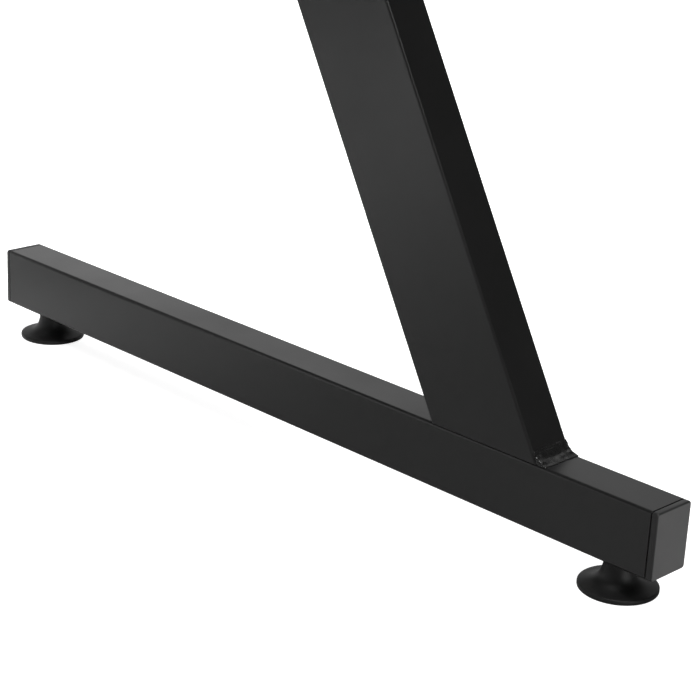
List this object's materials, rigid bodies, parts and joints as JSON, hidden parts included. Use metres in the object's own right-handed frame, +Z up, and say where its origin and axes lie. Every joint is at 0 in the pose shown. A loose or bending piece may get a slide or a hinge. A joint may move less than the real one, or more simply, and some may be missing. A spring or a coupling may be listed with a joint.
{
  "type": "inversion table",
  "caption": "Tilting gym bed hung between two side frames of floor rail and leaning upright, with padded backrest, telescopic boom, foot plate and foam ankle rollers.",
  "frame": {"origin": "on the floor, in the middle of the footprint's bounding box, foot pads' undersides at z = 0", "axes": "+Z up, +Y towards the head end of the bed, -Y towards the foot end, +X to the left of a user lying on the bed, along the pivot axis"},
  "size_m": [0.834, 1.3152, 1.3185],
  "materials": {
    "frame_paint": "satin black powder coat, fine orange peel",
    "weld": "glossy black coat over a rippled weld",
    "cap_plastic": "fine moulded texture, satin",
    "knob_plastic": "moulded grip plastic, satin, on a zinc plated pin",
    "foot_rubber": "matte black moulded rubber",
    "bumper_rubber": "matte black rubber",
    "tread_rubber": "ribbed matte rubber",
    "foam": "closed cell foam with fine pores",
    "zinc": "zinc plated, slightly dull",
    "bush": "sintered bronze",
    "chrome": "polished chrome plate",
    "vinyl": "black vinyl-coated upholstery fabric with a leather grain, foam filled",
    "board": "plywood board with a black stain",
    "ankle_paint": "satin black powder coat"
  },
  "bodies": {
    "frame": {"right_floor_rail": "frame_paint", "left_floor_rail": "frame_paint", "right_upright": "frame_paint", "left_upright": "frame_paint", "weld_beads": "weld", "rail_end_caps": "cap_plastic", "upright_top_caps": "cap_plastic", "foot_inserts": "zinc", "pivot_bosses": "frame_paint", "pivot_bushes": "bush", "pivot_dust_caps": "cap_plastic", "cross_beam": "frame_paint", "beam_gussets": "frame_paint", "stop_bumper": "bumper_rubber", "tilt_stop_lug": "zinc", "frame_bolts": "zinc", "frame_nuts": "zinc", "right_grab_rail": "frame_paint", "left_grab_rail": "frame_paint", "grab_grips": "foam", "grab_plugs": "cap_plastic", "grab_saddles": "frame_paint"},
    "bed": {"right_pivot_arm": "frame_paint", "left_pivot_arm": "frame_paint", "pivot_axles": "chrome", "axle_fasteners": "zinc", "spine_tube": "frame_paint", "bed_cross_bars": "frame_paint", "backrest_board": "board", "backrest_pad": "vinyl", "board_screws": "zinc", "spine_sleeve": "cap_plastic", "spine_end_cap": "cap_plastic", "height_pin_housing": "zinc"},
    "headrest": {"headrest_pad": "vinyl"},
    "height_pin": {"height_pin": "knob_plastic"},
    "tilt_pin": {"tilt_limit_pin": "knob_plastic"},
    "boom": {"boom_tube": "chrome", "boom_glide": "cap_plastic", "ankle_head": "ankle_paint", "rear_roller_axle": "chrome", "foot_plate": "frame_paint", "foot_tread": "tread_rubber"},
    "clamp": {"clamp_arm": "chrome", "front_roller_axle": "chrome", "clamp_handle": "chrome", "clamp_grip": "foam"},
    "clamp_pin": {"clamp_pin": "knob_plastic"},
    "rear_roller_r": {"rear_roller_right": "foam"},
    "rear_roller_l": {"rear_roller_left": "foam"},
    "front_roller_r": {"front_roller_right": "foam"},
    "front_roller_l": {"front_roller_left": "foam"},
    "leveller_right_rear": {"foot_pad_right_rear": "foot_rubber", "foot_stud_right_rear": "zinc"},
    "leveller_right_front": {"foot_pad_right_front": "foot_rubber", "foot_stud_right_front": "zinc"},
    "leveller_left_rear": {"foot_pad_left_rear": "foot_rubber", "foot_stud_left_rear": "zinc"},
    "leveller_left_front": {"foot_pad_left_front": "foot_rubber", "foot_stud_left_front": "zinc"}
  },
  "joints": [
    {"name": "leveller_right_rear_screw", "type": "slide", "parent": "frame", "child": "leveller_right_rear", "axis": [0, 0, -1], "range_m": [0, 0.012]},
    {"name": "leveller_right_front_screw", "type": "slide", "parent": "frame", "child": "leveller_right_front", "axis": [0, 0, -1], "range_m": [0, 0.012]},
    {"name": "leveller_left_rear_screw", "type": "slide", "parent": "frame", "child": "leveller_left_rear", "axis": [0, 0, -1], "range_m": [0, 0.012]},
    {"name": "leveller_left_front_screw", "type": "slide", "parent": "frame", "child": "leveller_left_front", "axis": [0, 0, -1], "range_m": [0, 0.012]},
    {"name": "tilt", "type": "hinge", "parent": "frame", "child": "bed", "pos_m": [0, 0.02699, 0.834], "axis": [-1, 0, 0], "range_deg": [0, 120]},
    {"name": "headrest_slide", "type": "slide", "parent": "bed", "child": "headrest", "axis": [0, 0.6428, 0.766], "range_m": [-0.1, 0]},
    {"name": "height_pin_pull", "type": "slide", "parent": "bed", "child": "height_pin", "axis": [0, -0.766, 0.6428], "range_m": [-0.012, 0]},
    {"name": "tilt_pin_pull", "type": "slide", "parent": "bed", "child": "tilt_pin", "axis": [1, 0, 0], "range_m": [0, 0.03]},
    {"name": "boom_height", "type": "slide", "parent": "bed", "child": "boom", "axis": [0, -0.6428, -0.766], "range_m": [-0.125, 0]},
    {"name": "ankle_clamp", "type": "slide", "parent": "boom", "child": "clamp", "axis": [0, 0.766, -0.6428], "range_m": [-0.06, 0]},
    {"name": "clamp_pin_pull", "type": "slide", "parent": "boom", "child": "clamp_pin", "axis": [1, 0, 0], "range_m": [-0.01, 0]},
    {"name": "rear_roller_right_spin", "type": "hinge", "parent": "boom", "child": "rear_roller_r", "pos_m": [-0.115, -0.4825, 0.22371], "axis": [1, 0, 0], "continuous": true},
    {"name": "rear_roller_left_spin", "type": "hinge", "parent": "boom", "child": "rear_roller_l", "pos_m": [0.115, -0.4825, 0.22371], "axis": [1, 0, 0], "continuous": true},
    {"name": "front_roller_right_spin", "type": "hinge", "parent": "clamp", "child": "front_roller_r", "pos_m": [-0.115, -0.6176, 0.29139], "axis": [1, 0, 0], "continuous": true},
    {"name": "front_roller_left_spin", "type": "hinge", "parent": "clamp", "child": "front_roller_l", "pos_m": [0.115, -0.6176, 0.29139], "axis": [1, 0, 0], "continuous": true}
  ]
}
